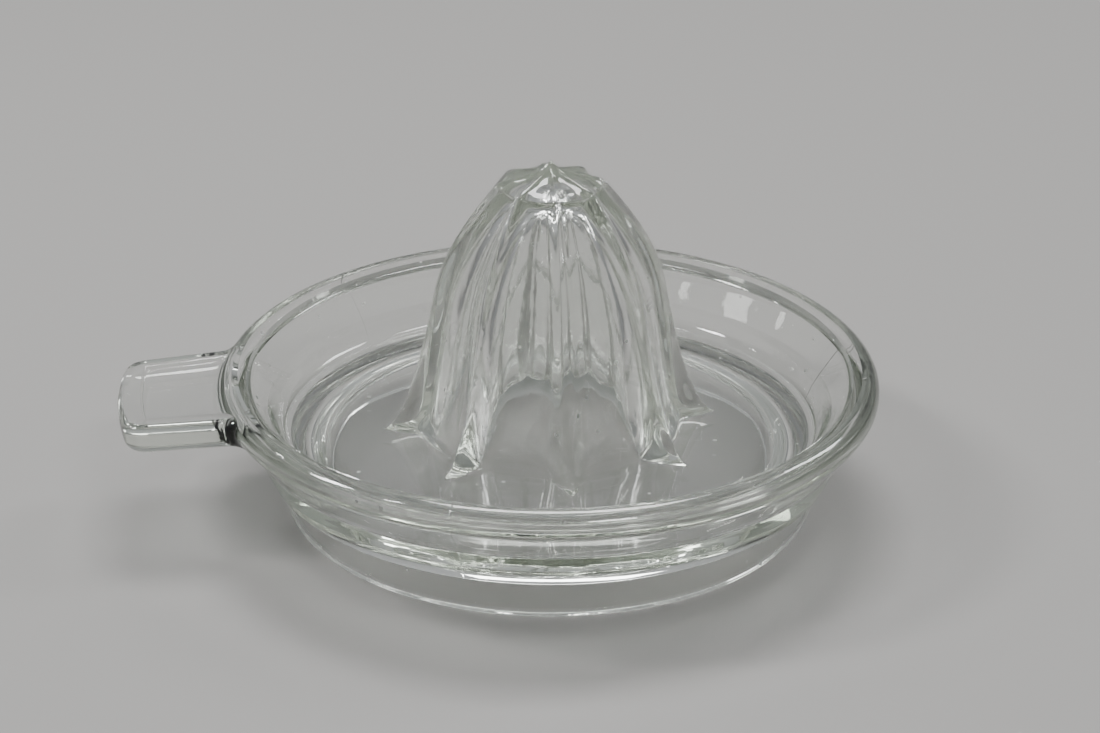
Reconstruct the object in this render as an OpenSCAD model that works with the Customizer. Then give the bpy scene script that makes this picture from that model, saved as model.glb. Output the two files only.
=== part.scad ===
// Pressed-glass citrus reamer: a shallow dish with a ribbed hollow cone, a foot ring and a tab handle.
// Real size, millimetres. The origin is the centre of the foot ring's underside, +Z is up,
// and the tab handle points along -X. The glass is one pressing, drawn here region by region:
// the regions share their faces and never overlap.

/* [Dish] */
// Outer diameter of the rim
rim_d = 150; // [140:1:160]
// Height of the rim above the table
rim_h = 32; // [31:0.1:33]
// Height at which the inside of the wall turns from steep to flared
kink_z_in = 21.5; // [21:0.1:22]
// Height at which the outside of the wall turns from steep to flared
kink_z_out = 19.2; // [18.5:0.1:20]
// Inner radius of the wall where it turns
kink_r_in = 62.3; // [61.8:0.1:62.8]
// Outer radius of the wall where it turns
kink_r_out = 68.8; // [68:0.1:69.5]
// Radius of the lip's inner top corner
lip_r_in = 2.4; // [2:0.1:2.8]
// Radius of the lip's outer top corner
lip_r_out = 3.7; // [3:0.1:4]
// Width of the lip at its top, between the centres of its two corners
lip_top_w = 0.4; // [0.2:0.1:1]

/* [Floor and foot] */
// Height of the floor's top face
floor_z = 17.5; // [17:0.1:18]
// Thickness of the floor
floor_t = 5; // [4:0.1:6]
// Radius of the fillet between the floor and the wall
floor_fillet_r = 3.5; // [2.5:0.1:4.5]
// Outer radius of the foot ring
foot_r = 60.8; // [59:0.1:62]
// Wall thickness of the foot ring
foot_t = 4.2; // [3.5:0.1:5]
// Height of the foot ring, up to the step under the wall
foot_h = 10.6; // [10:0.1:11.5]
// Outer radius of the wall at the step above the foot ring
step_r = 65.1; // [64:0.1:66]
// Size of the rounded corner between the step and the wall
step_edge = 0.7; // [0.2:0.1:1.2]
// Radius of the foot ring's rounded lower edges
foot_edge_r = 1.2; // [0.5:0.1:1.8]
// Radius of the curved cove between the floor's underside and the foot ring
cove_r = 11.5; // [10.5:0.1:14]
// Radius at which the cove leaves the floor's flat underside
cove_start_r = 46.8; // [46.5:0.1:48]

/* [Cone] */
// Number of ridges around the cone
ridges = 8; // [6:1:10]
// Height of the cone's tip above the table
tip_z = 81; // [79:0.1:84]
// Radius of the star cap at its points
star_r = 11.8; // [11:0.1:12.5]
// Height of the star cap's points
star_z = 76.3; // [75.5:0.1:77]
// Radius at which the ridges' toes end on the floor
toe_r = 37.8; // [36:0.1:40]
// Radius at which the flutes meet the floor
flute_r = 29.5; // [28.5:0.1:31]
// Radius of the hollow under the cone, level with the floor's top face
hollow_r = 26; // [24:0.1:26.5]
// Height of the top of the hollow
hollow_z = 70.5; // [66:0.1:71.5]
// Radius of the hollow's rounded mouth in the floor's underside
mouth_r = 30; // [28.5:0.1:31]
// Half the width of a ridge's flat crest, as a part of half a flute's width
crest_half = 0.1; // [0.05:0.01:0.15]
// Roundness of the crest's two edges, as a part of half a flute's width
crest_edge = 0.05; // [0.03:0.01:0.1]
// How steeply the flutes fall away beside a ridge
flute_power = 3; // [2:0.5:4]
// How steeply they fall away at the floor, where each ridge ends in a pointed toe
toe_power = 5; // [4:0.5:7]
// Height at which the ridges begin to narrow to their toes
toe_start_z = 29; // [24:0.5:32]

/* [Tab handle] */
// Distance from the dish's centre to the end of the tab
tab_reach = 98.1; // [94:0.1:104]
// Width of the tab at the rim
tab_w = 40; // [34:0.1:42]
// How much narrower the tab is at its end
tab_taper = 2; // [0:0.1:4]
// Thickness of the tab
tab_t = 6.6; // [5.5:0.1:7]
// Height of the tab's top face where it leaves the rim
tab_z = 30.7; // [30:0.1:31.2]
// Angle by which the tab droops towards its end
tab_droop = 2.7; // [0:0.1:4]
// Corner radius of the tab, seen from above
tab_corner_r = 5.5; // [4:0.1:7]
// Radius of the tab's long rounded edges
tab_edge_r = 2.4; // [1:0.1:2.8]
// How far the middle of the tab's end bulges beyond its corners
tab_bulge = 2.4; // [0.5:0.1:3]
// Width of the border around the tab's recessed panel
tab_border = 6; // [5:0.1:8]
// Depth of the tab's recessed panel
tab_recess = 0.8; // [0.4:0.1:1.2]

/* [Hidden] */

glass = [0.80, 0.88, 0.85, 0.55];
revolve_fn = 128;
arc_n = 6;

rim_r = rim_d / 2;
under_z = floor_z - floor_t;
foot_r_in = foot_r - foot_t;
cove_angle = asin((foot_r_in - cove_start_r) / cove_r);
cove_end_z = under_z - cove_r * (1 - cos(cove_angle));

// Centres of the lip's two corner arcs
lip_out_c = [rim_r - lip_r_out, rim_h - lip_r_out];
lip_in_c = [lip_out_c[0] - lip_top_w, rim_h - lip_r_in];
// Height at which the lip region begins
lip_base_z = 26;

// Points of an arc about c, from angle a0 to a1
function arc(c, r, a0, a1, n = arc_n) =
    [for (i = [0:n]) let (a = a0 + (a1 - a0) * i / n) c + r * [cos(a), sin(a)]];

// Angle of the normal at which a line from point p touches the circle about c, on the side given by turn
function tangent_angle(p, c, r, turn) =
    let (d = p - c)
    atan2(d[1], d[0]) + turn * acos(r / norm(d));

// Point at height z on the line from a to b
function at_z(a, b, z) = a + (b - a) * (z - a[1]) / (b[1] - a[1]);

lip_in_angle = tangent_angle([kink_r_in, kink_z_in], lip_in_c, lip_r_in, -1);
lip_out_angle = tangent_angle([kink_r_out, kink_z_out], lip_out_c, lip_r_out, 1);
lip_in_touch = lip_in_c + lip_r_in * [cos(lip_in_angle), sin(lip_in_angle)];
lip_out_touch = lip_out_c + lip_r_out * [cos(lip_out_angle), sin(lip_out_angle)];
wall_in_top = at_z([kink_r_in, kink_z_in], lip_in_touch, lip_base_z);
wall_out_top = at_z([kink_r_out, kink_z_out], lip_out_touch, lip_base_z);

// The steep lower wall leans outwards by this angle from vertical
wall_lean = atan2(kink_r_out - step_r, kink_z_out - foot_h);
wall_foot_r = kink_r_in - (kink_z_in - floor_z) * tan(wall_lean);
fillet_reach = floor_fillet_r * tan((90 - wall_lean) / 2);
fillet_c = [wall_foot_r - fillet_reach, floor_z + floor_fillet_r];

// Cubic curve through its first and last control points
function bezier(p, t) =
    pow(1 - t, 3) * p[0] + 3 * pow(1 - t, 2) * t * p[1] + 3 * (1 - t) * t * t * p[2] + pow(t, 3) * p[3];

// Drop of the cap's edge midway between two points of the star, and its distance inside their circle
leaf_drop = 1;
leaf_inset = 0.9;
edge_z = star_z - leaf_drop;
edge_r = star_r - leaf_inset;
// Height of the middle of the flat underside that closes the cap
cap_base_z = edge_z - 1;
// Radius and height where the domed top of the cone passes into its straight side
waist_z = 50;
ridge_waist_r = 26.4;
flute_waist_r = 22.8;
// Control points of the ridge and flute outlines, from the cap down to the floor
ridge_dome = [[star_r, star_z], [15, 72], [24.2, 62.5], [ridge_waist_r, waist_z]];
flute_dome = [[edge_r, edge_z], [12.4, 69.8], [20.8, 61.5], [flute_waist_r, waist_z]];
ridge_side = [[ridge_waist_r, waist_z], [29.4, 34.5], [33, 20.8], [toe_r, floor_z]];
flute_side = [[flute_waist_r, waist_z], [24.9, 39], [26, floor_z + 2], [flute_r, floor_z]];
// Half-width of the crest where a ridge ends on the floor
toe_crest_half = 0.03;
// Control points of the hollow under the cone, from the floor up to its top
hollow = [[hollow_r, floor_z], [21.3, 33], [19, hollow_z - 1], [0, hollow_z]];

cap_rows = 5;
dome_rows = 8;
side_rows = 11;
hollow_rows = 10;
// Columns of one ridge's sector, in halves of a flute, closer together at the crest
sector = [0, 0.08, 0.18, 0.34, 0.62, 1, 1.38, 1.66, 1.82, 1.92];
columns = ridges * len(sector);

// Angle about the axis of column i
function column_angle(i) = (floor(i / len(sector)) * 2 + sector[i % len(sector)]) * 180 / ridges;

function smooth(t) = let (u = min(max(t, 0), 1)) u * u * (3 - 2 * u);

// How far a ridge has turned into its toe at height z: 0 up on the cone and 1 at the floor
function toe_part(z) = smooth((toe_start_z - z) / (toe_start_z - floor_z));

// Ramp that stays near 0 on a crest of half-width c and rises evenly beyond it
function ramp(u, c) = u - c + sqrt(pow(u - c, 2) + crest_edge * crest_edge);

// Depth of column i below the crest line, as a part of the full flute: 0 on a ridge, 1 in a flute
function flute_depth(i, toe) =
    let (u = 1 - abs(1 - sector[i % len(sector)]))
    let (c = crest_half + (toe_crest_half - crest_half) * toe)
    let (v = (ramp(u, c) - ramp(0, c)) / (ramp(1, c) - ramp(0, c)))
    1 - pow(1 - v, flute_power + (toe_power - flute_power) * toe);

// Point on column i whose radius and height lie between a ridge point and a flute point
function shell_point(i, ridge, flute) =
    let (p = ridge + (flute - ridge) * flute_depth(i, toe_part(ridge[1])))
    [p[0] * cos(column_angle(i)), p[0] * sin(column_angle(i)), p[1]];

function ring(ridge, flute) = [for (i = [0:columns - 1]) shell_point(i, ridge, flute)];

// Outline of the cap's raised ridges, and of the leaf between two of them, at a part s of its radius
function cap_ridge(s) = [star_r * s, star_z + (tip_z - star_z) * pow(1 - s, 1.4)];
function cap_leaf(s) = [edge_r * s, cap_ridge(s)[1] - leaf_drop * pow(s, 1.5)];

cap_rings = [for (k = [1:cap_rows]) ring(cap_ridge(k / cap_rows), cap_leaf(k / cap_rows))];
dome_rings = [for (k = [0:dome_rows])
    let (t = k / dome_rows)
    ring(bezier(ridge_dome, t), bezier(flute_dome, t))];
side_rings = [for (k = [1:side_rows])
    let (t = k / side_rows)
    ring(bezier(ridge_side, t), bezier(flute_side, t))];
// The hollow is round, so its rings have the same radius on every column
hollow_rings = [for (k = [0:hollow_rows - 1]) let (p = bezier(hollow, k / hollow_rows)) ring(p, p)];

// Closed shell of rings of points, with a single point at each end
module ringed_solid(first, rings, last) {
    rows = len(rings);
    points = concat([first], [for (r = rings) for (p = r) p], [last]);
    first_fan = [for (i = [0:columns - 1]) [0, 1 + (i + 1) % columns, 1 + i]];
    last_fan = [for (i = [0:columns - 1])
        [len(points) - 1, 1 + (rows - 1) * columns + i, 1 + (rows - 1) * columns + (i + 1) % columns]];
    bands = [for (k = [0:rows - 2]) for (i = [0:columns - 1])
        let (a = 1 + k * columns + i, b = 1 + k * columns + (i + 1) % columns)
        for (triangle = [[a, b, a + columns], [b, b + columns, a + columns]]) triangle];
    polyhedron(points = points, faces = concat(first_fan, bands, last_fan), convexity = 6);
}

// Rounded lip around the top of the dish, down to lip_base_z
module rim_lip() {
    color(glass)
    rotate_extrude($fn = revolve_fn)
    polygon(concat(
        [wall_in_top, wall_out_top],
        arc(lip_out_c, lip_r_out, lip_out_angle, 90),
        arc(lip_in_c, lip_r_in, 90, lip_in_angle)
    ));
}

// Wall of the dish: steep at the bottom, flared above the kink
module dish_wall() {
    color(glass)
    rotate_extrude($fn = revolve_fn)
    polygon(concat(
        [[foot_r_in, foot_h], [step_r - step_edge, foot_h], [step_r, foot_h + step_edge]],
        [[kink_r_out, kink_z_out], wall_out_top, wall_in_top, [kink_r_in, kink_z_in]],
        arc(fillet_c, floor_fillet_r, -wall_lean, -90),
        [[foot_r_in, floor_z]]
    ));
}

// Flat floor with the hollow's mouth in the middle and a cove under its outer edge
module dish_floor() {
    flare = mouth_r - hollow_r;
    mouth_round = [
        [hollow_r, floor_z],
        [hollow_r + flare * 0.35, under_z + floor_t * 0.32],
        [hollow_r + flare * 0.6, under_z],
        [mouth_r, under_z]
    ];
    color(glass)
    rotate_extrude($fn = revolve_fn)
    polygon(concat(
        [for (k = [0:arc_n]) bezier(mouth_round, k / arc_n)],
        arc([cove_start_r, under_z - cove_r], cove_r, 90, 90 - cove_angle),
        [[foot_r_in, floor_z]]
    ));
}

// Ring that the reamer stands on
module foot_ring() {
    edge = foot_edge_r;
    color(glass)
    rotate_extrude($fn = revolve_fn)
    polygon(concat(
        arc([foot_r_in + edge, edge], edge, 180, 270),
        arc([foot_r - edge, edge], edge, 270, 360),
        [[foot_r, foot_h], [foot_r_in, foot_h]]
    ));
}

// Ribbed cone below the cap, hollow from underneath
module reamer_cone() {
    color(glass)
    ringed_solid([0, 0, cap_base_z], concat(dome_rings, side_rings, hollow_rings), [0, 0, hollow_z]);
}

// Star-shaped cap on top of the cone: raised ridges with a leaf between each two
module star_cap() {
    color(glass)
    ringed_solid([0, 0, tip_z], cap_rings, [0, 0, cap_base_z]);
}

// Outline of the tab seen from above, pointing along +X
module tab_plan() {
    half = tab_w / 2;
    tip_half = half - tab_taper / 2;
    end_r = (pow(tip_half, 2) + pow(tab_bulge, 2)) / (2 * tab_bulge);
    corner_y = tip_half - tab_corner_r;
    corner_x = tab_reach - end_r + sqrt(pow(end_r - tab_corner_r, 2) - pow(corner_y, 2));
    end_half = asin(corner_y / (end_r - tab_corner_r));
    polygon(concat(
        [[kink_r_out, -half]],
        arc([corner_x, -corner_y], tab_corner_r, -90, -end_half),
        arc([tab_reach - end_r, 0], end_r, -end_half, end_half),
        arc([corner_x, corner_y], tab_corner_r, end_half, 90),
        [[kink_r_out, half]]
    ));
}

// Rounded bar of the tab's cross-section, lying along X with its top face at z = 0
module tab_bar() {
    inset = tab_w / 2 - tab_edge_r;
    translate([0, 0, -tab_t])
    rotate([90, 0, 90])
    linear_extrude(height = tab_reach + 1) {
        for (side = [-1, 1], level = [tab_edge_r, tab_t - tab_edge_r])
            translate([side * inset, level]) circle(r = tab_edge_r, $fn = 48);
        translate([-inset, 0]) square([2 * inset, tab_t]);
        translate([-tab_w / 2, tab_edge_r]) square([tab_w, tab_t - 2 * tab_edge_r]);
    }
}

// Solid that fills the rim's outline, to cut the tab back to the outside of the wall and lip
module rim_envelope() {
    rotate_extrude($fn = revolve_fn)
    polygon(concat(
        [[0, foot_h], [kink_r_out, kink_z_out]],
        arc(lip_out_c, lip_r_out, lip_out_angle, 90),
        [[0, rim_h]]
    ));
}

// Flat tab handle with a shallow recessed panel in its top face
module tab_handle() {
    panel_end = tab_reach - tab_border;
    panel_w = tab_w - 2 * tab_border;
    color(glass)
    difference() {
        mirror([1, 0, 0])
        translate([rim_r, 0, tab_z])
        rotate([0, tab_droop, 0])
        translate([-rim_r, 0, 0])
        difference() {
            intersection() {
                translate([0, 0, -tab_t - 1]) linear_extrude(height = tab_t + 2) tab_plan();
                tab_bar();
            }
            translate([0, -panel_w / 2, -tab_recess]) cube([panel_end, panel_w, tab_recess + 1]);
        }
        rim_envelope();
    }
}

rim_lip();
dish_wall();
dish_floor();
foot_ring();
reamer_cone();
star_cap();
tab_handle();
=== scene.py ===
import math

import bmesh
import bpy
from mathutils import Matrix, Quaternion, Vector, noise


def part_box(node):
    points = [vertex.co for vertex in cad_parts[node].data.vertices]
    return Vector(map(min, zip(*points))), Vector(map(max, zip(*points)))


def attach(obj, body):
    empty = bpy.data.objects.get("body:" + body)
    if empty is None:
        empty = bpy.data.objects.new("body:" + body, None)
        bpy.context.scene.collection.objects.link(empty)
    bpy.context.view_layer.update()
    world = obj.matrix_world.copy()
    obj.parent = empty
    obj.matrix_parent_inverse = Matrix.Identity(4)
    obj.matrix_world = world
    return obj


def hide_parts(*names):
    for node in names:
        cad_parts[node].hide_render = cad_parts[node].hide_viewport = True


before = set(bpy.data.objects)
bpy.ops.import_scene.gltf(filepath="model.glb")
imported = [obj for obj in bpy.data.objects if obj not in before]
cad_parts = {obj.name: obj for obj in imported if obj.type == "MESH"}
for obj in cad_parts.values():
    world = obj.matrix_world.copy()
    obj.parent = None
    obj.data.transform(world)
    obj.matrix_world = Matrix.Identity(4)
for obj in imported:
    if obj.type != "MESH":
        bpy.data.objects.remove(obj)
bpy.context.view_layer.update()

# ---------------------------------------------------------------------------
# Sizes. The main ones are read from the frame; the rest are in millimetres.
# ---------------------------------------------------------------------------
MM = 0.001


def high(node, axis):
    """The highest coordinate of a CAD node, in millimetres."""
    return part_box(node)[1][axis] / MM


def low(node, axis):
    """The lowest coordinate of a CAD node, in millimetres."""
    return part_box(node)[0][axis] / MM


X, Y, Z = 0, 1, 2
RIM_R = high("rim_lip", X)
RIM_H = high("rim_lip", Z)
FLOOR_Z = high("dish_floor", Z)
FOOT_R = high("foot_ring", X)
FOOT_H = high("foot_ring", Z)
STAR_R = high("star_cap", X)
TIP_Z = high("star_cap", Z)
TOE_R = high("reamer_cone", X)
TAB_REACH = -low("tab_handle", X)
TAB_HALF = high("tab_handle", Y)

# Dish
KINK_IN = (62.3, 21.5)          # corners between the steep lower wall and the flared one
KINK_OUT = (68.8, 19.2)
KINK_IN_ROUND = 1.6
KINK_OUT_ROUND = 1.4
LIP_IN_R = 2.4
LIP_OUT_R = 3.7
LIP_TOP_W = 0.4                 # width of the flat between the lip's two rounded corners
STEP_R = 65.1                   # outer radius of the wall at the step above the foot
STEP_ROUND = 0.7
NOTCH_ROUND = 0.6
FLOOR_FILLET_R = 3.5
FLOOR_T = 5.0
UNDER_Z = FLOOR_Z - FLOOR_T
FOOT_IN_R = FOOT_R - 4.2
FOOT_EDGE_R = 1.2
COVE_R = 11.5
COVE_START_R = 46.8
TROUGH_IN_R = 44.0              # the floor's own rows lie between these radii
TROUGH_OUT_R = 54.0

# Cone
RIDGES = 8
STAR_Z = 76.3                   # height of the star cap's points
FLUTE_R = 29.5                  # radius of the flutes at the floor
CREST_HALF = 0.10               # half the width of a ridge's flat crest, in halves of a flute
CREST_EDGE = 0.05               # roundness of the crest's two edges
FLUTE_POWER = 3.0               # how steeply the flutes fall away beside a crest
TOE_CREST_HALF = 0.03           # CREST_HALF at the floor, where each ridge ends in a pointed toe
TOE_POWER = 5.0                 # FLUTE_POWER at the floor
TOE_START_Z = 29.0              # height below which the crests narrow to toes
HOLLOW_R = 26.0
HOLLOW_Z = 70.5
HOLLOW_LOW = (21.3, 33.0)       # two of the control points of the hollow's outline
HOLLOW_HIGH = (19.0, HOLLOW_Z - 1)
MOUTH_R = 30.0                  # radius at which the hollow's mouth begins to round over

# Tab handle
TAB_T = 6.6
TAB_Z = 30.7                    # height of its top face at the rim
TAB_DROOP = math.radians(2.7)
TAB_TAPER = 2.0                 # how much narrower its end is than its root
TAB_BULGE = 2.4                 # how far its end bulges beyond its corners
BULGE_LOSS = 0.12               # share of that lost per millimetre of inset
TAB_CORNER_R = 5.5
TAB_EDGE_R = 2.4
PANEL_BORDER = 6.0              # inset of the recessed panel's floor
PANEL_SLOPE = 0.8               # width of the slope round it
PANEL_DEPTH = 0.8

# ---------------------------------------------------------------------------
# Mesh density
# ---------------------------------------------------------------------------
HALF_FLUTE = 18                 # columns in half a flute
COLUMNS = RIDGES * 2 * HALF_FLUTE
CAP_ROWS = 12
DOME_ROWS = 30
SIDE_ROWS = 38
TOE_ROWS = 6                    # rows on the floor between the toes and the floor's own rows
SETTLE_ROWS = 18                # rows over which the columns spread out evenly
ARC_ROWS = 5                    # rows of a small rounded corner
LIP_ROWS = 8                    # rows of a larger one
MOUTH_ROWS = 8
HOLLOW_ROWS = 40
TAB_COLUMNS = 28                # columns of the dish that the tab's root replaces
TAB_ROWS = 13                   # rows of the dish that it replaces
FINE = 1.5                      # how strongly columns gather at the cone's crests
EVEN = 1.0                      # the same on the dish, where they are evenly spread


def lerp(a, b, t):
    """The point between a and b at share t of the way."""
    return tuple(p + (q - p) * t for p, q in zip(a, b))


def smooth(t):
    """0 below t = 0 and 1 above t = 1, with a soft step between."""
    t = min(max(t, 0.0), 1.0)
    return t * t * (3 - 2 * t)


def bezier(controls, t):
    """Point at share t of the curve with four control points."""
    s = 1 - t
    weights = (s ** 3, 3 * s * s * t, 3 * s * t * t, t ** 3)
    axes = range(len(controls[0]))
    return tuple(sum(w * point[k] for w, point in zip(weights, controls)) for k in axes)


def arc(centre, radius, start, end, steps):
    """Points of an arc; start and end are in degrees."""
    points = []
    for i in range(steps + 1):
        a = math.radians(start + (end - start) * i / steps)
        points.append((centre[0] + radius * math.cos(a), centre[1] + radius * math.sin(a)))
    return points


def line(a, b, steps):
    """Evenly spaced points from a to b."""
    return [lerp(a, b, i / steps) for i in range(steps + 1)]


def fillet(before, corner, after, radius, steps):
    """Arc of a radius that rounds the corner between two straight lines."""
    u = (Vector(before) - Vector(corner)).normalized()
    v = (Vector(after) - Vector(corner)).normalized()
    half = u.angle(v) / 2
    centre = Vector(corner) + (u + v).normalized() * radius / math.sin(half)
    first = Vector(corner) + u * radius / math.tan(half)
    last = Vector(corner) + v * radius / math.tan(half)
    start = math.atan2(*(first - centre).yx)
    turn = math.atan2(*(last - centre).yx) - start
    turn = (turn + math.pi) % (2 * math.pi) - math.pi
    return arc(centre, radius, math.degrees(start), math.degrees(start + turn), steps)


def tangent_angle(p, centre, radius, side):
    """Angle of the normal where a line from p touches a circle, in degrees. side is 1 or -1."""
    away = Vector(p) - Vector(centre)
    return math.degrees(math.atan2(away.y, away.x) + side * math.acos(radius / away.length))


# ---------------------------------------------------------------------------
# Outline of the dish: rows of (radius, height) from the floor over the lip to
# the hollow under the cone
# ---------------------------------------------------------------------------
LIP_OUT_C = (RIM_R - LIP_OUT_R, RIM_H - LIP_OUT_R)
LIP_IN_C = (LIP_OUT_C[0] - LIP_TOP_W, RIM_H - LIP_IN_R)
LIP_IN_ANGLE = tangent_angle(KINK_IN, LIP_IN_C, LIP_IN_R, -1)
LIP_OUT_ANGLE = tangent_angle(KINK_OUT, LIP_OUT_C, LIP_OUT_R, 1)
WALL_LEAN = math.atan2(KINK_OUT[0] - STEP_R, KINK_OUT[1] - FOOT_H)
WALL_FOOT = (KINK_IN[0] - (KINK_IN[1] - FLOOR_Z) * math.tan(WALL_LEAN), FLOOR_Z)
ROOT_TOP_ANGLE = 57             # where the tab's root begins on the lip's outer corner, in degrees
ROOT_LOW_Z = 21.6               # height at which it ends on the flared wall


def inner_outline():
    """Rows of the trough's floor, the wall's inside and the lip's inner corner."""
    lip = arc(LIP_IN_C, LIP_IN_R, LIP_IN_ANGLE, 90, LIP_ROWS + 1)
    start = (TROUGH_IN_R, FLOOR_Z)
    rows = line(start, (TROUGH_OUT_R, FLOOR_Z), ARC_ROWS)
    rows += fillet(start, WALL_FOOT, KINK_IN, FLOOR_FILLET_R, LIP_ROWS)
    rows += fillet(WALL_FOOT, KINK_IN, lip[0], KINK_IN_ROUND, ARC_ROWS)
    rows += line(rows[-1], lip[0], ARC_ROWS)[1:-1]
    return rows + lip


def root_outline():
    """Rows of the outside that the tab's root replaces, and the point where the lip's arc ends."""
    rows = arc(LIP_OUT_C, LIP_OUT_R, ROOT_TOP_ANGLE, LIP_OUT_ANGLE, LIP_ROWS)
    touch = rows[-1]
    root_low = lerp(touch, KINK_OUT, (touch[1] - ROOT_LOW_Z) / (touch[1] - KINK_OUT[1]))
    return rows + line(touch, root_low, TAB_ROWS - LIP_ROWS)[1:], touch


def lower_outline(touch):
    """Rows of the outside below the tab, round the foot ring and along the cove."""
    step = (STEP_R, FOOT_H)
    notch = (FOOT_R, FOOT_H)
    foot_out = (FOOT_R, 0)
    foot_in = (FOOT_IN_R, 0)
    cove_angle = math.degrees(math.asin((FOOT_IN_R - COVE_START_R) / COVE_R))
    cove = arc((COVE_START_R, UNDER_Z - COVE_R), COVE_R, 90 - cove_angle, 90, LIP_ROWS + 1)
    rows = fillet(touch, KINK_OUT, step, KINK_OUT_ROUND, ARC_ROWS)
    rows += fillet(KINK_OUT, step, notch, STEP_ROUND, ARC_ROWS - 1)
    rows += fillet(step, notch, foot_out, NOTCH_ROUND, ARC_ROWS - 1)
    rows += line(rows[-1], (FOOT_R, FOOT_EDGE_R), ARC_ROWS - 1)[1:-1]
    rows += fillet(notch, foot_out, foot_in, FOOT_EDGE_R, ARC_ROWS)
    rows += fillet(foot_out, foot_in, cove[0], FOOT_EDGE_R, ARC_ROWS)
    rows += fillet(foot_in, cove[0], cove[1], NOTCH_ROUND, ARC_ROWS - 2)
    rows += cove[1:]
    return rows + line(cove[-1], (MOUTH_R, UNDER_Z), ARC_ROWS + 1)[1:-1]


def hollow_outline():
    """Rows of the hollow's rounded mouth and of the hollow up to just below its top."""
    mouth = (
        (MOUTH_R, UNDER_Z),
        (HOLLOW_R + 2.4, UNDER_Z),
        (HOLLOW_R + 1.4, UNDER_Z + 1.6),
        (HOLLOW_R, FLOOR_Z),
    )
    hollow = ((HOLLOW_R, FLOOR_Z), HOLLOW_LOW, HOLLOW_HIGH, (0, HOLLOW_Z))
    rows = [bezier(mouth, k / MOUTH_ROWS) for k in range(MOUTH_ROWS + 1)]
    return rows + [bezier(hollow, k / HOLLOW_ROWS) for k in range(1, HOLLOW_ROWS)]


def dish_outline():
    """Rows from the trough's floor to the hollow's top, and the first and last row of the tab's root."""
    inner = inner_outline()
    lip_top = arc(LIP_OUT_C, LIP_OUT_R, 90, ROOT_TOP_ANGLE, LIP_ROWS // 2)
    root, touch = root_outline()
    first = len(inner) + len(lip_top) - 1
    rows = inner + lip_top[:-1] + root + lower_outline(touch) + hollow_outline()
    return rows, first, first + TAB_ROWS


# ---------------------------------------------------------------------------
# Outside of the cone: rows of a ridge point and a flute point
# ---------------------------------------------------------------------------
CAP_RISE = 3.0                  # height of the cap's dome above its points
CAP_POWER = 1.1                 # near 1, so that the cap is almost a cone
NIPPLE_PART = 0.21              # radius of the nipple on top, as a share of the cap's
NIPPLE_POWER = 1.15
POINT_ROUND = 0.35              # how much the cap's points are rounded down
POINT_START = 0.82              # where that rounding begins, as a share of the cap's radius
LEAF_DROP = 1.0                 # how far a leaf's edge lies below the points
LEAF_INSET = 0.9                # and inside them
LEAF_POWER = 1.5
LEAF_HOLLOW = 0.35              # how far each leaf is dished between its ridges
LEAF_HOLLOW_END = 1 / 1.15      # where that dish ends, as a share of the cap's radius
RIDGE_WAIST = (26.4, 50.0)      # where the ridges and the flutes pass from the dome to the side
FLUTE_WAIST = (22.8, 50.0)
TOE_BLEND = 0.6                 # how far the first ring on the floor lies beyond the toes
FLUTE_BLEND = 0.7               # and beyond the flutes


def cap_rows():
    """Rows of the star cap: its eight ridges, and the leaf between each two."""
    rows = []
    nipple_height = TIP_Z - STAR_Z - CAP_RISE
    for k in range(1, CAP_ROWS + 1):
        s = k / CAP_ROWS
        top = STAR_Z + CAP_RISE * (1 - s) ** CAP_POWER
        top += nipple_height * max(0, 1 - s / NIPPLE_PART) ** NIPPLE_POWER
        top -= POINT_ROUND * max(0, (s - POINT_START) / (1 - POINT_START)) ** 2
        leaf = top - (LEAF_DROP - POINT_ROUND) * s ** LEAF_POWER
        leaf -= LEAF_HOLLOW * math.sin(math.pi * min(1, s / LEAF_HOLLOW_END)) ** 2
        rows.append(((STAR_R * s, top), ((STAR_R - LEAF_INSET) * s, leaf)))
    return rows


def cone_rows():
    """Rows from the tip to the floor. Control points give the outlines of a ridge and of a flute."""
    edge_r = STAR_R - LEAF_INSET
    edge_z = STAR_Z - LEAF_DROP
    ridge_dome = ((STAR_R, STAR_Z), (15, 72), (24.2, 62.5), RIDGE_WAIST)
    flute_dome = ((edge_r - 0.7, edge_z - 0.9), (12.0, 69.8), (20.8, 61.5), FLUTE_WAIST)
    ridge_side = (RIDGE_WAIST, (29.4, 34.5), (33, 20.8), (TOE_R, FLOOR_Z))
    flute_side = (FLUTE_WAIST, (24.9, 39), (26, FLOOR_Z + 2), (FLUTE_R, FLOOR_Z))
    rounded_step = [
        ((STAR_R + 0.16, STAR_Z - 0.48), (edge_r + 0.08, edge_z - 0.12)),
        ((STAR_R + 0.27, STAR_Z - 0.62), (edge_r + 0.05, edge_z - 0.36)),
        ((STAR_R + 0.36, STAR_Z - 0.76), (edge_r - 0.18, edge_z - 0.58)),
        ((STAR_R + 0.44, STAR_Z - 0.9), (edge_r - 0.5, edge_z - 0.75)),
    ]
    rows = cap_rows() + rounded_step
    for k in range(2, DOME_ROWS + 1):
        rows.append((bezier(ridge_dome, k / DOME_ROWS), bezier(flute_dome, k / DOME_ROWS)))
    for k in range(1, SIDE_ROWS):
        rows.append((bezier(ridge_side, k / SIDE_ROWS), bezier(flute_side, k / SIDE_ROWS)))
    return rows


def column_turn(i, spread):
    """(angle, part) of column i: part is 0 at a ridge's crest and 1 in the middle of a flute."""
    k = i % (2 * HALF_FLUTE)
    near = min(k, 2 * HALF_FLUTE - k) / HALF_FLUTE
    part = near ** spread
    across = part if k <= HALF_FLUTE else 2 - part
    return math.pi + (i // (2 * HALF_FLUTE) * 2 + across) * math.pi / RIDGES, part


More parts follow.
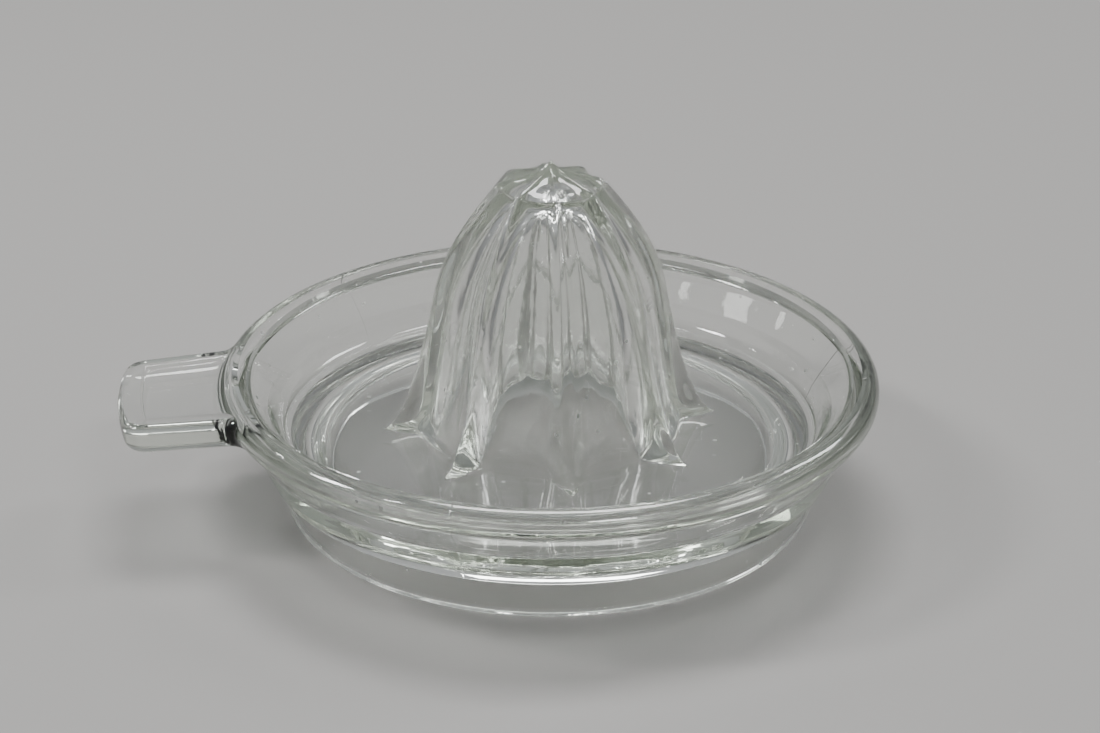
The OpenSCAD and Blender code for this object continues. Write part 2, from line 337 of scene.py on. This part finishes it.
def ramp(part, crest):
    """Smooth ramp that stays near 0 on a ridge's flat crest and rises evenly beyond it."""
    beyond = part - crest
    return beyond + math.sqrt(beyond * beyond + CREST_EDGE * CREST_EDGE)


def flute_depth(part, toe):
    """Depth below the crest line as a share of the flute. toe is 0 up on the cone and 1 at the floor."""
    crest = CREST_HALF + (TOE_CREST_HALF - CREST_HALF) * toe
    power = FLUTE_POWER + (TOE_POWER - FLUTE_POWER) * toe
    across = (ramp(part, crest) - ramp(0, crest)) / (ramp(1, crest) - ramp(0, crest))
    return 1 - (1 - across) ** power


def ring(ridge, flute, spread, toe=0):
    """One ring of points whose radius and height lie between a ridge point and a flute point."""
    points = []
    for i in range(COLUMNS):
        angle, part = column_turn(i, spread)
        r, z = lerp(ridge, flute, flute_depth(part, toe))
        points.append((r * math.cos(angle), r * math.sin(angle), z))
    return points


def glass_rings():
    """Every ring from the tip to the top of the hollow, and the first and last ring of the tab's root."""
    rings = []
    for ridge, flute in cone_rows():
        toe = smooth((TOE_START_Z - ridge[1]) / (TOE_START_Z - FLOOR_Z))
        rings.append(ring(ridge, flute, FINE, toe))
    toe_end = (TOE_R + TOE_BLEND, FLOOR_Z)
    flute_end = (FLUTE_R + FLUTE_BLEND, FLOOR_Z)
    dish, first, last = dish_outline()
    for k in range(TOE_ROWS):
        t = k / TOE_ROWS
        rings.append(ring(lerp(toe_end, dish[0], t), lerp(flute_end, dish[0], t), FINE, 1))
    offset = len(rings)
    for k, point in enumerate(dish):
        spread = FINE + (EVEN - FINE) * smooth(k / SETTLE_ROWS)
        rings.append(ring(point, point, spread))
    return rings, first + offset, last + offset


# ---------------------------------------------------------------------------
# Tab handle
# ---------------------------------------------------------------------------
ROOT_R = RIM_R + 2.2            # radius at which the fillet to the rim begins
INNER_CORNER_R = 1.1            # smallest corner radius of the panel
PANEL_COLUMNS = 18              # quads across the tab
SIDE_QUADS = 12                 # quads along each side, with half of each corner
CORNER_QUADS = 4                # quads in half a corner
SLOPE_ROWS = 4
EDGE_ROWS = 5
SIDE_FACE_ROWS = 3
QUAD = ((0, 0), (1, 0), (1, 1), (0, 1))     # corners of a quad, in steps along and across


def tab_path(inset):
    """Path round the tab seen from above, inset from its outline: one side, the end, the other side."""
    half_root = TAB_HALF - inset
    half_end = TAB_HALF - TAB_TAPER / 2 - inset
    reach = TAB_REACH - inset
    bulge = TAB_BULGE * (1 - BULGE_LOSS * inset)
    corner = max(TAB_CORNER_R - inset, INNER_CORNER_R)
    end_r = (half_end ** 2 + bulge ** 2) / (2 * bulge)
    corner_y = half_end - corner
    centre = (reach - end_r + math.sqrt((end_r - corner) ** 2 - corner_y ** 2), corner_y)
    end_angle = math.degrees(math.asin(corner_y / (end_r - corner)))
    root = (math.sqrt(ROOT_R ** 2 - half_root ** 2), half_root)
    side = line(root, (centre[0], half_end), SIDE_QUADS - CORNER_QUADS)
    turn = arc(centre, corner, 90, end_angle, 2 * CORNER_QUADS)
    end = arc((reach - end_r, 0), end_r, end_angle, -end_angle, PANEL_COLUMNS - 2 * CORNER_QUADS)
    half_path = side + turn[1:]
    other = [(x, -y) for x, y in reversed(half_path)]
    return half_path + end[1:-1] + other


def tab_sections():
    """(inset, height) of each loop round the tab, from the panel in its top face to its underside."""
    rows = []
    for k in range(SLOPE_ROWS + 1):
        t = k / SLOPE_ROWS
        rows.append((PANEL_BORDER - PANEL_SLOPE * t, -PANEL_DEPTH * (1 - smooth(t))))
    for k in range(EDGE_ROWS + 1):
        a = math.radians(90 * k / EDGE_ROWS)
        rows.append((TAB_EDGE_R * (1 - math.sin(a)), -TAB_EDGE_R * (1 - math.cos(a))))
    side_height = TAB_T - 2 * TAB_EDGE_R
    for k in range(1, SIDE_FACE_ROWS):
        rows.append((0.0, -TAB_EDGE_R - side_height * k / SIDE_FACE_ROWS))
    for k in range(EDGE_ROWS + 1):
        a = math.radians(90 * k / EDGE_ROWS)
        rows.append((TAB_EDGE_R * (1 - math.cos(a)), -TAB_T + TAB_EDGE_R * (1 - math.sin(a))))
    for k in range(1, EDGE_ROWS + 1):
        rows.append((TAB_EDGE_R + (PANEL_BORDER - TAB_EDGE_R) * k / EDGE_ROWS, -TAB_T))
    return rows


def droop(x, y, z):
    """Place of a tab point after the tab's droop, with the tab turned to point along -X."""
    dx = x - RIM_R
    return (
        -(RIM_R + dx * math.cos(TAB_DROOP) + z * math.sin(TAB_DROOP)),
        -y,
        TAB_Z + z * math.cos(TAB_DROOP) - dx * math.sin(TAB_DROOP),
    )


class Builder:
    """Collects vertices and faces, with one vertex for each key."""

    def __init__(self):
        self.points, self.faces, self.keys = [], [], {}

    def vertex(self, key, point):
        if key not in self.keys:
            self.keys[key] = len(self.points)
            self.points.append(point)
        return self.keys[key]

    def face(self, *keys):
        self.faces.append([self.keys[k] for k in keys])


def patch_point(path, u, v, rows):
    """Point of the surface stretched inside a three-sided path, whose fourth side is the tab's root."""
    side_a = path[:rows + 1]
    end = path[rows:rows + PANEL_COLUMNS + 1]
    side_b = path[rows + PANEL_COLUMNS:][::-1]
    left, right = side_a[u], side_b[u]
    across, along = v / PANEL_COLUMNS, u / rows
    y_root = side_a[0][1] + (side_b[0][1] - side_a[0][1]) * across
    root = (math.sqrt(ROOT_R ** 2 - y_root ** 2), y_root)
    point = []
    for k in range(2):
        sides = (1 - across) * left[k] + across * right[k]
        ends = (1 - along) * root[k] + along * end[v][k]
        corners = (1 - along) * ((1 - across) * side_a[0][k] + across * side_b[0][k])
        corners += along * ((1 - across) * side_a[-1][k] + across * side_b[-1][k])
        point.append(sides + ends - corners)
    return point


def build_tab(mesh):
    """Adds the tab to the builder. Returns the keys of its root loop, from the middle of its top row."""
    sections = tab_sections()
    paths = [tab_path(inset) for inset, _ in sections]
    count = len(paths[0])
    last = len(sections) - 1
    for s, (path, (_, z)) in enumerate(zip(paths, sections)):
        for q, (x, y) in enumerate(path):
            mesh.vertex(("tab", s, q), droop(x, y, z))
    for s in range(last):
        for q in range(count - 1):
            mesh.face(("tab", s, q), ("tab", s, q + 1), ("tab", s + 1, q + 1), ("tab", s + 1, q))
    rows = (count - 1 - PANEL_COLUMNS) // 2

    def panel_key(level, u, v):
        if v == 0:
            return ("tab", level, u)
        if v == PANEL_COLUMNS:
            return ("tab", level, count - 1 - u)
        if u == rows:
            return ("tab", level, rows + v)
        return ("panel", level, u, v)

    for level in (0, last):
        z = sections[level][1]
        for u in range(rows + 1):
            for v in range(PANEL_COLUMNS + 1):
                x, y = patch_point(paths[level], u, v, rows)
                mesh.vertex(panel_key(level, u, v), droop(x, y, z))
        for u in range(rows):
            for v in range(PANEL_COLUMNS):
                mesh.face(*(panel_key(level, u + du, v + dv) for du, dv in QUAD))
    top = [panel_key(0, 0, v) for v in range(PANEL_COLUMNS + 1)]
    right = [("tab", s, count - 1) for s in range(1, last)]
    under = [panel_key(last, 0, v) for v in range(PANEL_COLUMNS, -1, -1)]
    left = [("tab", s, 0) for s in range(last - 1, 0, -1)]
    loop = top + right + under + left
    middle = PANEL_COLUMNS // 2
    return loop[middle:] + loop[:middle]


# ---------------------------------------------------------------------------
# The whole pressing as one closed surface
# ---------------------------------------------------------------------------
BRIDGE_ROWS = 7                 # rows of the fillet between the tab and the rim
BRIDGE_REACH = 0.42             # how far it follows each of the two, as a share of its span


def hole_loop(first, last):
    """Keys of the dish's vertices round the tab's root, from the middle of its top row."""
    half = TAB_COLUMNS // 2
    top = [("ring", first, i) for i in range(0, half + 1)]
    right = [("ring", k, half) for k in range(first + 1, last)]
    under = [("ring", last, i) for i in range(half, -half - 1, -1)]
    left = [("ring", k, -half) for k in range(last - 1, first, -1)]
    top_left = [("ring", first, i) for i in range(-half, 0)]
    return [(name, k, i % COLUMNS) for name, k, i in top + right + under + left + top_left]


def ring_normal(rings, k, i):
    """Outward normal of the dish at a ring's vertex, from the neighbouring vertices."""
    down = Vector(rings[k + 1][i]) - Vector(rings[k - 1][i])
    along = Vector(rings[k][(i + 1) % COLUMNS]) - Vector(rings[k][i - 1])
    return down.cross(along).normalized()


def bridge(mesh, tab_loop, dish_loop, rings):
    """Joins the tab's root to the dish with a fillet that leaves both surfaces smoothly."""
    inward = Vector((math.cos(TAB_DROOP), 0, math.sin(TAB_DROOP)))
    count = len(tab_loop)
    for q, (tab_key, dish_key) in enumerate(zip(tab_loop, dish_loop)):
        start = Vector(mesh.points[mesh.keys[tab_key]])
        end = Vector(mesh.points[mesh.keys[dish_key]])
        normal = ring_normal(rings, dish_key[1], dish_key[2])
        chord = end - start
        away = (chord - normal * chord.dot(normal)).normalized()
        reach = chord.length * BRIDGE_REACH
        curve = [tuple(p) for p in (start, start + inward * reach, end - away * reach, end)]
        for b in range(1, BRIDGE_ROWS):
            mesh.vertex(("bridge", b, q), bezier(curve, b / BRIDGE_ROWS))

    def key(b, q):
        if b == 0:
            return tab_loop[q % count]
        if b == BRIDGE_ROWS:
            return dish_loop[q % count]
        return ("bridge", b, q % count)

    for b in range(BRIDGE_ROWS):
        for q in range(count):
            mesh.face(key(b, q), key(b, q + 1), key(b + 1, q + 1), key(b + 1, q))


# Ripples of the pressed surface, in millimetres
STREAK_COUNT_R = 8.0            # radius in noise space of the circle that the streaks are read from
STREAK_AMPLITUDE = 0.05
STREAK_LENGTH = 22.0
STREAK_START_Z = FLOOR_Z + 2    # height at which the streaks begin on the cone
STREAK_FADE_H = 8.0             # height over which they set in
STREAK_FADE_R = 12.0            # radius below which they fade out at the tip
WAVE_LENGTH = 18.0
WAVE_AMPLITUDE = 0.03
HOLLOW_FADE_ROWS = 6            # rows over which the hollow's duller surface sets in


def add_press_marks(data):
    """Moves the vertices along their normals by the ripples that pressing and cooling leave in glass."""
    normals = [vertex.normal.copy() for vertex in data.vertices]
    for vertex, normal in zip(data.vertices, normals):
        x, y, z = (c / MM for c in vertex.co)
        r = math.hypot(x, y)
        if z < FOOT_EDGE_R:
            continue
        move = WAVE_AMPLITUDE * noise.noise(Vector((x, y, z)) / WAVE_LENGTH)
        if r < TOE_R and z > FLOOR_Z:
            turn = Vector((x, y)) / max(r, 1e-6) * STREAK_COUNT_R
            fade = smooth((z - STREAK_START_Z) / STREAK_FADE_H) * smooth(r / STREAK_FADE_R)
            move += STREAK_AMPLITUDE * fade * noise.noise(Vector((turn.x, turn.y, z / STREAK_LENGTH)))
        vertex.co += normal * move * MM


def matched(mesh, tab_loop, dish_loop):
    """The tab's root loop, turned round if it runs the other way than the dish's."""
    near = 3
    target = Vector(mesh.points[mesh.keys[dish_loop[near]]])
    ahead = Vector(mesh.points[mesh.keys[tab_loop[near]]])
    behind = Vector(mesh.points[mesh.keys[tab_loop[-near]]])
    if (ahead - target).length > (behind - target).length:
        return [tab_loop[0]] + tab_loop[:0:-1]
    return tab_loop


def mark_hollow(data, mesh, last_row):
    """Stores on each vertex how far it lies inside the hollow: 0 outside and 1 inside."""
    share = data.attributes.new("hollow_face", "FLOAT", "POINT")
    first_row = last_row - HOLLOW_ROWS
    for key, index in mesh.keys.items():
        if key[0] == "ring":
            share.data[index].value = smooth((key[1] - first_row) / HOLLOW_FADE_ROWS)
    share.data[mesh.keys[("hollow",)]].value = 1.0


def build_glass():
    """The whole pressing as one closed mesh, named glass_reamer."""
    rings, first, last = glass_rings()
    mesh = Builder()
    half = TAB_COLUMNS // 2
    for k, points in enumerate(rings):
        for i, point in enumerate(points):
            inside_tab = first < k < last and (i < half or i > COLUMNS - half)
            if not inside_tab:
                mesh.vertex(("ring", k, i), point)
    for k in range(len(rings) - 1):
        for i in range(COLUMNS):
            if first <= k < last and (i < half or i >= COLUMNS - half):
                continue
            j = (i + 1) % COLUMNS
            mesh.face(("ring", k, i), ("ring", k + 1, i), ("ring", k + 1, j), ("ring", k, j))
    mesh.vertex(("tip",), (0, 0, TIP_Z))
    mesh.vertex(("hollow",), (0, 0, HOLLOW_Z))
    end = len(rings) - 1
    for i in range(COLUMNS):
        j = (i + 1) % COLUMNS
        mesh.face(("tip",), ("ring", 0, i), ("ring", 0, j))
        mesh.face(("hollow",), ("ring", end, j), ("ring", end, i))
    tab_loop = build_tab(mesh)
    dish_loop = hole_loop(first, last)
    bridge(mesh, matched(mesh, tab_loop, dish_loop), dish_loop, rings)
    data = bpy.data.meshes.new("glass_reamer")
    data.from_pydata([tuple(c * MM for c in p) for p in mesh.points], [], mesh.faces)
    work = bmesh.new()
    work.from_mesh(data)
    bmesh.ops.recalc_face_normals(work, faces=work.faces)
    work.to_mesh(data)
    work.free()
    data.polygons.foreach_set("use_smooth", [True] * len(data.polygons))
    mark_hollow(data, mesh, end)
    add_press_marks(data)
    piece = bpy.data.objects.new("glass_reamer", data)
    bpy.context.scene.collection.objects.link(piece)
    return piece


# ---------------------------------------------------------------------------
# Materials. Heights and widths of the fine marks are in metres, and the scales
# of noise are in cells a metre.
# ---------------------------------------------------------------------------
SURFACE_COLOUR = (0.99, 0.995, 0.985, 1)
GLASS_IOR = 1.5
TINT_COLOUR = (0.88, 0.905, 0.86, 1)
TINT_DENSITY = 36
SKIN_SCALE = 420
SKIN_DEPTH = 0.006 * MM
FILM_SCALE = 70
FILM_RANGE = (0.45, 0.75)       # noise between which the film goes from none to full
FILM_ROUGHNESS = 0.05
STREAK_SCALE = 750
STREAK_STRETCH = (1, 1, 0.12)   # draws the streaks out along the height
STREAK_RANGE = (0.42, 0.68)
STREAK_DEPTH = 0.05 * MM
HOLLOW_SMOOTH = 0.01            # roughness of the hollow between its streaks
HOLLOW_ROUGHNESS = 0.12
SPECK_SCALE = 420
SPECK_SHARE = 0.94              # share of the cells that hold no speck
SPECK_R = 0.24                  # radius of the largest specks, in cells
SPECK_EDGE = (-0.05, 0.02)      # softness of a speck's edge, in cells
SPECK_ROUGHNESS = 0.6
SPECK_HEIGHT = 0.03 * MM
SEAMS = 3
SEAM_ANGLE = math.radians(246.4)
SEAM_HALF_WIDTH = 0.3 * MM
SEAM_HEIGHT = 0.06 * MM
PIT_PLACE = (-63.5, 20.1, 26.4)     # in millimetres
PIT_R = 1.3 * MM
PIT_DEPTH = 0.25 * MM
FLOOR_COLOUR = (0.22, 0.215, 0.208, 1)
FLOOR_ROUGHNESS = 0.55


def add_node(tree, kind, operation=None, **inputs):
    """Output of a new shader node. An input is set by its name, or by its number: _0 is the first."""
    node = tree.nodes.new(kind)
    if operation:
        node.operation = operation
    for name, value in inputs.items():
        socket = node.inputs[int(name[1:])] if name[0] == "_" else node.inputs[name.replace("_", " ")]
        if isinstance(value, bpy.types.NodeSocket):
            tree.links.new(value, socket)
        else:
            socket.default_value = value
    return node.outputs[0]


def rise(tree, value, start, end, lowest, highest):
    """Value mapped smoothly from the range start..end to lowest..highest."""
    node = tree.nodes.new("ShaderNodeMapRange")
    node.interpolation_type = "SMOOTHSTEP"
    tree.links.new(value, node.inputs["Value"])
    names = ("From Min", "From Max", "To Min", "To Max")
    for name, number in zip(names, (start, end, lowest, highest)):
        node.inputs[name].default_value = number
    return node.outputs[0]


def noise_of(tree, place, scale, detail):
    """Soft noise between 0 and 1."""
    return add_node(tree, "ShaderNodeTexNoise", Vector=place, Scale=scale, Detail=detail)


def seam_height(tree, place):
    """Height of the fine raised lines that the mould's joints leave down the outside of the dish."""
    parts = tree.nodes.new("ShaderNodeSeparateXYZ")
    tree.links.new(place, parts.inputs[0])
    x, y, _ = parts.outputs
    angle = add_node(tree, "ShaderNodeMath", "ARCTAN2", _0=y, _1=x)
    turned = add_node(tree, "ShaderNodeMath", "SUBTRACT", _0=angle, _1=SEAM_ANGLE)
    away = add_node(tree, "ShaderNodeMath", "PINGPONG", _0=turned, _1=math.pi / SEAMS)
    apart = add_node(tree, "ShaderNodeMath", "MULTIPLY", _0=away, _1=RIM_R * MM)
    line_shape = rise(tree, apart, 0, SEAM_HALF_WIDTH, SEAM_HEIGHT, 0)
    across = add_node(tree, "ShaderNodeVectorMath", "MULTIPLY", _0=place, _1=(1, 1, 0))
    length = tree.nodes.new("ShaderNodeVectorMath")
    length.operation = "LENGTH"
    tree.links.new(across, length.inputs[0])
    outside = rise(tree, length.outputs["Value"], KINK_IN[0] * MM, KINK_OUT[0] * MM, 0, 1)
    return add_node(tree, "ShaderNodeMath", "MULTIPLY", _0=line_shape, _1=outside)


def pit_height(tree, place):
    """Depth of the small round mark in the flared wall beside the handle."""
    apart = tree.nodes.new("ShaderNodeVectorMath")
    apart.operation = "DISTANCE"
    tree.links.new(place, apart.inputs[0])
    apart.inputs[1].default_value = [c * MM for c in PIT_PLACE]
    return rise(tree, apart.outputs["Value"], 0, PIT_R, -PIT_DEPTH, 0)


def specks_of(tree, place):
    """Scattered dust specks: 1 on a speck and 0 elsewhere."""
    cells = tree.nodes.new("ShaderNodeTexVoronoi")
    cells.inputs["Scale"].default_value = SPECK_SCALE
    tree.links.new(place, cells.inputs["Vector"])
    shade = tree.nodes.new("ShaderNodeSeparateColor")
    tree.links.new(cells.outputs["Color"], shade.inputs[0])
    size = rise(tree, shade.outputs[0], SPECK_SHARE, 1.0, 0.0, SPECK_R)
    gap = add_node(tree, "ShaderNodeMath", "SUBTRACT", _0=cells.outputs["Distance"], _1=size)
    return rise(tree, gap, *SPECK_EDGE, 1, 0)


def glass_material():
    """Clear tinted glass with a film, specks, mould seams and a streaked hollow."""
    material = bpy.data.materials.new("clear_pressed_glass")
    material.use_nodes = True
    tree = material.node_tree
    tree.nodes.clear()
    output = tree.nodes.new("ShaderNodeOutputMaterial")
    surface = tree.nodes.new("ShaderNodeBsdfPrincipled")
    surface.inputs["Base Color"].default_value = SURFACE_COLOUR
    surface.inputs["IOR"].default_value = GLASS_IOR
    surface.inputs["Transmission Weight"].default_value = 1.0
    tree.links.new(surface.outputs[0], output.inputs["Surface"])
    place = tree.nodes.new("ShaderNodeTexCoord").outputs["Object"]
    marked = tree.nodes.new("ShaderNodeAttribute")
    marked.attribute_name = "hollow_face"
    in_hollow = marked.outputs["Fac"]

    # Roughness
    upright = add_node(tree, "ShaderNodeVectorMath", "MULTIPLY", _0=place, _1=STREAK_STRETCH)
    streaks = noise_of(tree, upright, STREAK_SCALE, 3)
    film = noise_of(tree, place, FILM_SCALE, 4)
    outer = rise(tree, film, *FILM_RANGE, 0.0, FILM_ROUGHNESS)
    inner = rise(tree, streaks, *STREAK_RANGE, HOLLOW_SMOOTH, HOLLOW_ROUGHNESS)
    mixed = add_node(tree, "ShaderNodeMix", None, _0=in_hollow, _2=outer, _3=inner)
    speck = specks_of(tree, place)
    dulled = add_node(tree, "ShaderNodeMath", "MULTIPLY", _0=speck, _1=SPECK_ROUGHNESS)
    roughness = add_node(tree, "ShaderNodeMath", "MAXIMUM", _0=mixed, _1=dulled)
    tree.links.new(roughness, surface.inputs["Roughness"])

    # Fine relief
    skin = noise_of(tree, place, SKIN_SCALE, 2)
    relief = add_node(tree, "ShaderNodeMath", "MULTIPLY", _0=skin, _1=SKIN_DEPTH)
    streak_height = add_node(tree, "ShaderNodeMath", "MULTIPLY", _0=streaks, _1=STREAK_DEPTH)
    hollow_height = add_node(tree, "ShaderNodeMath", "MULTIPLY", _0=streak_height, _1=in_hollow)
    speck_height = add_node(tree, "ShaderNodeMath", "MULTIPLY", _0=speck, _1=SPECK_HEIGHT)
    for height in (hollow_height, speck_height, seam_height(tree, place), pit_height(tree, place)):
        relief = add_node(tree, "ShaderNodeMath", "ADD", _0=relief, _1=height)
    bump = tree.nodes.new("ShaderNodeBump")
    bump.inputs["Strength"].default_value = 1.0
    bump.inputs["Distance"].default_value = 1.0
    tree.links.new(relief, bump.inputs["Height"])
    tree.links.new(bump.outputs[0], surface.inputs["Normal"])

    # Tint by thickness
    tint = tree.nodes.new("ShaderNodeVolumeAbsorption")
    tint.inputs["Color"].default_value = TINT_COLOUR
    tint.inputs["Density"].default_value = TINT_DENSITY
    tree.links.new(tint.outputs[0], output.inputs["Volume"])
    return material


def floor_material():
    """Plain pale floor with a soft sheen."""
    material = bpy.data.materials.new("pale_floor")
    material.use_nodes = True
    shader = material.node_tree.nodes["Principled BSDF"]
    shader.inputs["Base Color"].default_value = FLOOR_COLOUR
    shader.inputs["Roughness"].default_value = FLOOR_ROUGHNESS
    return material


# ---------------------------------------------------------------------------
# Stage, lights and camera, in metres
# ---------------------------------------------------------------------------
FLOOR_SIZE = 6
SKY_TOP = (0.50, 0.51, 0.525, 1)
SKY_LOW = (0.21, 0.215, 0.22, 1)
SKY_TOP_AT = 0.75               # height at which the sky is brightest, with straight up as 1
CAMERA_AZIMUTH = math.radians(-7.7)
CAMERA_ELEVATION = math.radians(25.134)
CAMERA_DISTANCE = 0.6164
CAMERA_AIM = (0, 0, 0.0308)
CAMERA_ROLL = math.radians(0.21)
CAMERA_LENS = 88.36             # in millimetres, as is the sensor's width
SENSOR_WIDTH = 36
GLASS_BOUNCES = 24
GLOSSY_BOUNCES = 12


def add_floor():
    bpy.ops.mesh.primitive_plane_add(size=FLOOR_SIZE)
    floor = bpy.context.object
    floor.name = "floor"
    floor.data.materials.append(floor_material())


def add_light(name, place, target, size, power):
    """A rectangular light at a place that faces a target, with its size in metres and power in watts."""
    data = bpy.data.lights.new(name, "AREA")
    data.shape = "RECTANGLE"
    data.size, data.size_y = size
    data.energy = power
    light = bpy.data.objects.new(name, data)
    light.location = place
    light.rotation_mode = "QUATERNION"
    light.rotation_quaternion = (Vector(target) - Vector(place)).to_track_quat("-Z", "Y")
    bpy.context.scene.collection.objects.link(light)


def add_lights():
    """Two soft boxes above and behind, three small lights at the left and one window in front."""
    aim = (0, 0, 0.03)
    add_light("overhead_softbox", (0.1, 0.5, 1.1), (0, 0, 0), (0.55, 0.38), 14)
    add_light("right_softbox", (0.9, 0.5, 0.9), aim, (0.22, 0.4), 6)
    add_light("left_window", (-0.683, 0.141, 0.70), (0.05, 0.043, 0.026), (0.13, 0.20), 6)
    add_light("left_strip", (-0.571, -0.118, 0.80), (0.039, 0.053, 0.026), (0.04, 0.12), 1.2)
    add_light("left_spot", (-0.687, 0.412, 0.574), (0.059, 0.032, 0.027), (0.04, 0.05), 0.5)
    add_light("front_window", (0.25, -0.9, 0.9), aim, (0.3, 0.12), 5)


def add_sky():
    """Soft surroundings: light above and dim near the horizon, so that the glass's edges show."""
    world = bpy.data.worlds.new("studio")
    world.use_nodes = True
    tree = world.node_tree
    coordinates = tree.nodes.new("ShaderNodeTexCoord")
    parts = tree.nodes.new("ShaderNodeSeparateXYZ")
    tree.links.new(coordinates.outputs["Generated"], parts.inputs[0])
    gradient = tree.nodes.new("ShaderNodeValToRGB")
    gradient.color_ramp.elements[0].color = SKY_LOW
    gradient.color_ramp.elements[1].color = SKY_TOP
    gradient.color_ramp.elements[1].position = SKY_TOP_AT
    tree.links.new(parts.outputs["Z"], gradient.inputs[0])
    tree.links.new(gradient.outputs[0], tree.nodes["Background"].inputs["Color"])
    bpy.context.scene.world = world


def add_camera():
    """The camera at the photo's viewing angle."""
    data = bpy.data.cameras.new("camera")
    data.lens = CAMERA_LENS
    data.sensor_width = SENSOR_WIDTH
    camera = bpy.data.objects.new("camera", data)
    level = math.cos(CAMERA_ELEVATION)
    back = Vector((
        math.sin(CAMERA_AZIMUTH) * level,
        -math.cos(CAMERA_AZIMUTH) * level,
        math.sin(CAMERA_ELEVATION),
    ))
    camera.location = Vector(CAMERA_AIM) + back * CAMERA_DISTANCE
    camera.rotation_mode = "QUATERNION"
    look = (-back).to_track_quat("-Z", "Y")
    camera.rotation_quaternion = look @ Quaternion((0, 0, 1), CAMERA_ROLL)
    bpy.context.scene.collection.objects.link(camera)
    bpy.context.scene.camera = camera


glass = build_glass()
glass.data.materials.append(glass_material())
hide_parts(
    "rim_lip", "dish_wall", "dish_floor", "foot_ring", "reamer_cone", "star_cap", "tab_handle")
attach(glass, "root")
add_floor()
add_lights()
add_sky()
add_camera()
cycles = bpy.context.scene.cycles
cycles.max_bounces = GLASS_BOUNCES
cycles.transmission_bounces = GLASS_BOUNCES
cycles.glossy_bounces = GLOSSY_BOUNCES
